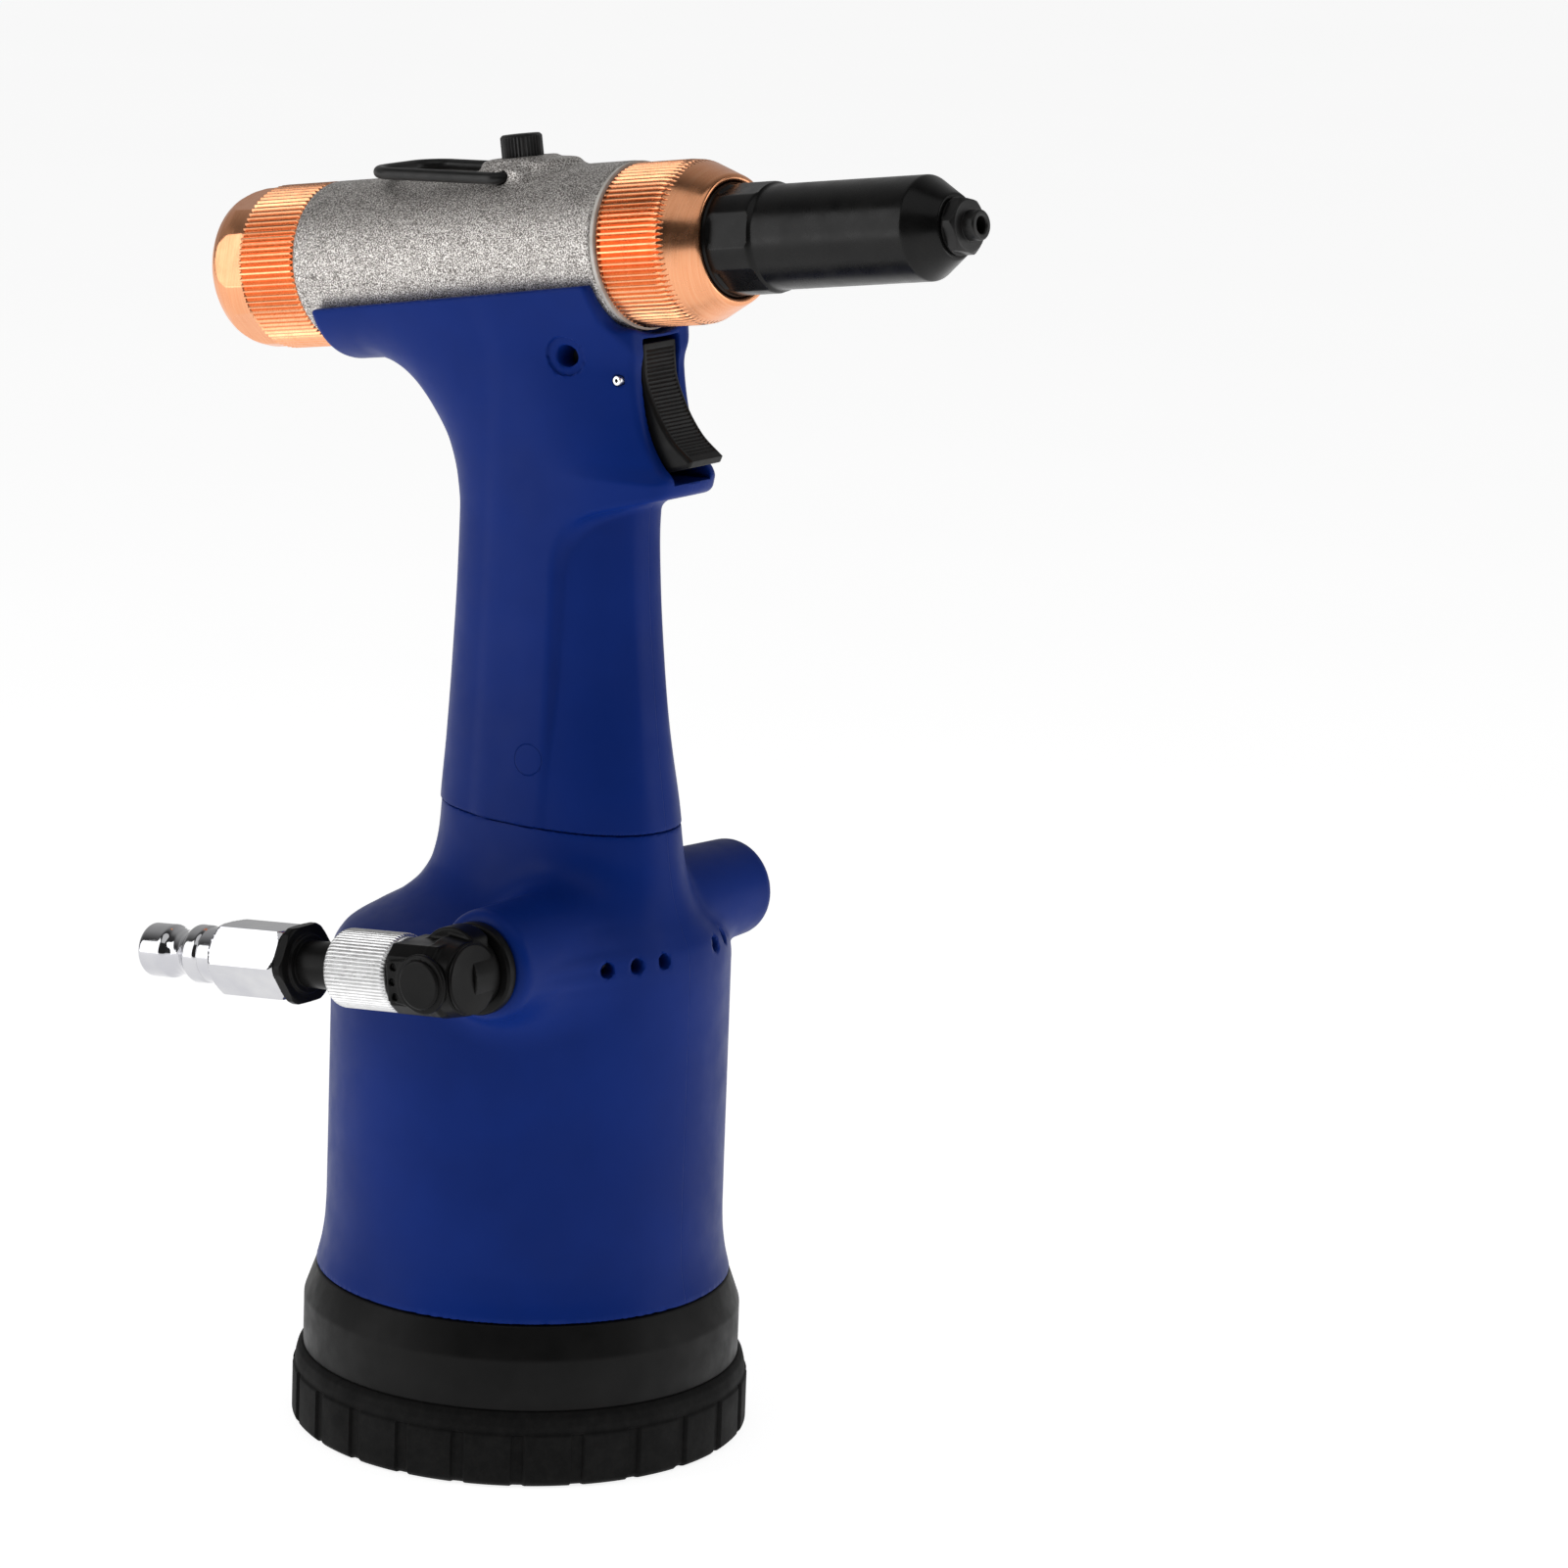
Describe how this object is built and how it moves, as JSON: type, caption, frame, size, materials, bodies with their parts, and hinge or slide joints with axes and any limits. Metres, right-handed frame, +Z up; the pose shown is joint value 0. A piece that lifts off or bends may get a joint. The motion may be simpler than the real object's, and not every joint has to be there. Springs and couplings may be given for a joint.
{
  "type": "pneumatic blind rivet gun",
  "caption": "Pistol-grip pneumatic-hydraulic blind rivet gun with air cylinder base, raked barrel, screwed nosepiece, trigger, hanging loop and swivelling air inlet.",
  "frame": {"origin": "centre of the underside of the rubber base boot", "axes": "+Z up through the air cylinder, +X towards the nose, air inlet on the -Y side"},
  "size_m": [0.1865, 0.1105, 0.2712],
  "materials": {
    "boot_rubber": "matt moulded rubber",
    "black_cap": "satin black coating",
    "blue_shell": "fine moulded texture",
    "machined_aluminium": "turned",
    "seal_rubber": "smooth",
    "ground_steel": "ground",
    "cast_aluminium": "blasted casting",
    "black_steel": "black oxide",
    "copper_anodised": "copper anodised, turned and knurled",
    "pale_gasket": "smooth",
    "black_nose": "turned, black oxide",
    "spring_steel": "drawn",
    "black_plastic": "moulded",
    "felt": "pressed felt",
    "black_anodised": "black anodised",
    "bright_aluminium": "knurled, bright",
    "chrome_plate": "polished plating"
  },
  "bodies": {
    "gun": {"base_boot": "boot_rubber", "bottom_cap": "black_cap", "collar_ring": "pale_gasket", "cylinder_head": "machined_aluminium", "cylinder_housing": "blue_shell", "cylinder_liner": "machined_aluminium", "exhaust_pad": "felt", "front_collar": "copper_anodised", "grip": "blue_shell", "grip_screw": "black_steel", "head_casting": "cast_aluminium", "head_seal": "seal_rubber", "inlet_bushing": "black_anodised", "nose_housing": "black_nose", "nosepiece": "black_steel", "oil_screw": "black_steel", "oil_screw_washer": "seal_rubber", "rear_cap": "copper_anodised", "return_spring": "spring_steel", "rod_gland": "machined_aluminium", "rod_seal": "seal_rubber", "trigger_pin": "ground_steel", "valve_plug": "machined_aluminium", "valve_sleeve": "machined_aluminium", "valve_spring": "spring_steel"},
    "air_piston_unit": {"air_piston": "machined_aluminium", "air_piston_seal": "seal_rubber", "ram": "ground_steel", "ram_nut": "ground_steel"},
    "pulling_unit": {"hydraulic_piston": "ground_steel", "piston_seal": "seal_rubber", "jaw_case": "black_steel", "jaws": "ground_steel", "jaw_pusher": "ground_steel", "jaw_spring": "spring_steel"},
    "trigger_lever": {"trigger": "black_plastic"},
    "trigger_link": {"trigger_rod": "ground_steel"},
    "spool_unit": {"valve_spool": "machined_aluminium"},
    "hanger": {"hanger_loop": "black_steel"},
    "air_line": {"elbow_body": "black_anodised", "elbow_end_plug": "black_anodised", "elbow_side_cap": "black_anodised", "valve_stem": "black_anodised", "air_plug": "chrome_plate"},
    "shutoff": {"shutoff_sleeve": "bright_aluminium"}
  },
  "joints": [
    {"name": "air_piston_stroke", "type": "slide", "parent": "gun", "child": "air_piston_unit", "axis": [0, 0, 1], "range_m": [0, 0.045]},
    {"name": "pull_stroke", "type": "slide", "parent": "gun", "child": "pulling_unit", "axis": [-0.9863, 0, -0.165], "range_m": [0, 0.015], "deforming": ["return_spring"]},
    {"name": "trigger_pull", "type": "hinge", "parent": "gun", "child": "trigger_lever", "pos_m": [0.0256, 0, 0.2236], "axis": [0, 1, 0], "range_deg": [0, 9], "stiffness_Nm_per_rad": 0.3, "springref_deg": -8.59},
    {"name": "trigger_link_lift", "type": "slide", "parent": "gun", "child": "trigger_link", "axis": [0, 0, 1], "range_m": [0, 0.00096]},
    {"name": "spool_shift", "type": "slide", "parent": "gun", "child": "spool_unit", "axis": [0, 1, 0], "range_m": [0, 0.004], "deforming": ["valve_spring"]},
    {"name": "hanger_swing", "type": "hinge", "parent": "gun", "child": "hanger", "pos_m": [-0.00652, 0, 0.26023], "axis": [0, 1, 0], "range_deg": [0, 165]},
    {"name": "air_line_swivel", "type": "hinge", "parent": "gun", "child": "air_line", "pos_m": [0.0218, -0.054, 0.109], "axis": [0, 1, 0], "continuous": true},
    {"name": "shutoff_slide", "type": "slide", "parent": "air_line", "child": "shutoff", "axis": [-0.9936, 0, -0.1132], "range_m": [0, 0.009]}
  ],
  "couplings": [
    {"joint": "pull_stroke", "follows": "air_piston_stroke", "ratio": 0.33333},
    {"joint": "trigger_link_lift", "follows": "trigger_pull", "m_per_rad": 0.0061},
    {"joint": "spool_shift", "follows": "trigger_pull", "m_per_rad": 0.025}
  ]
}
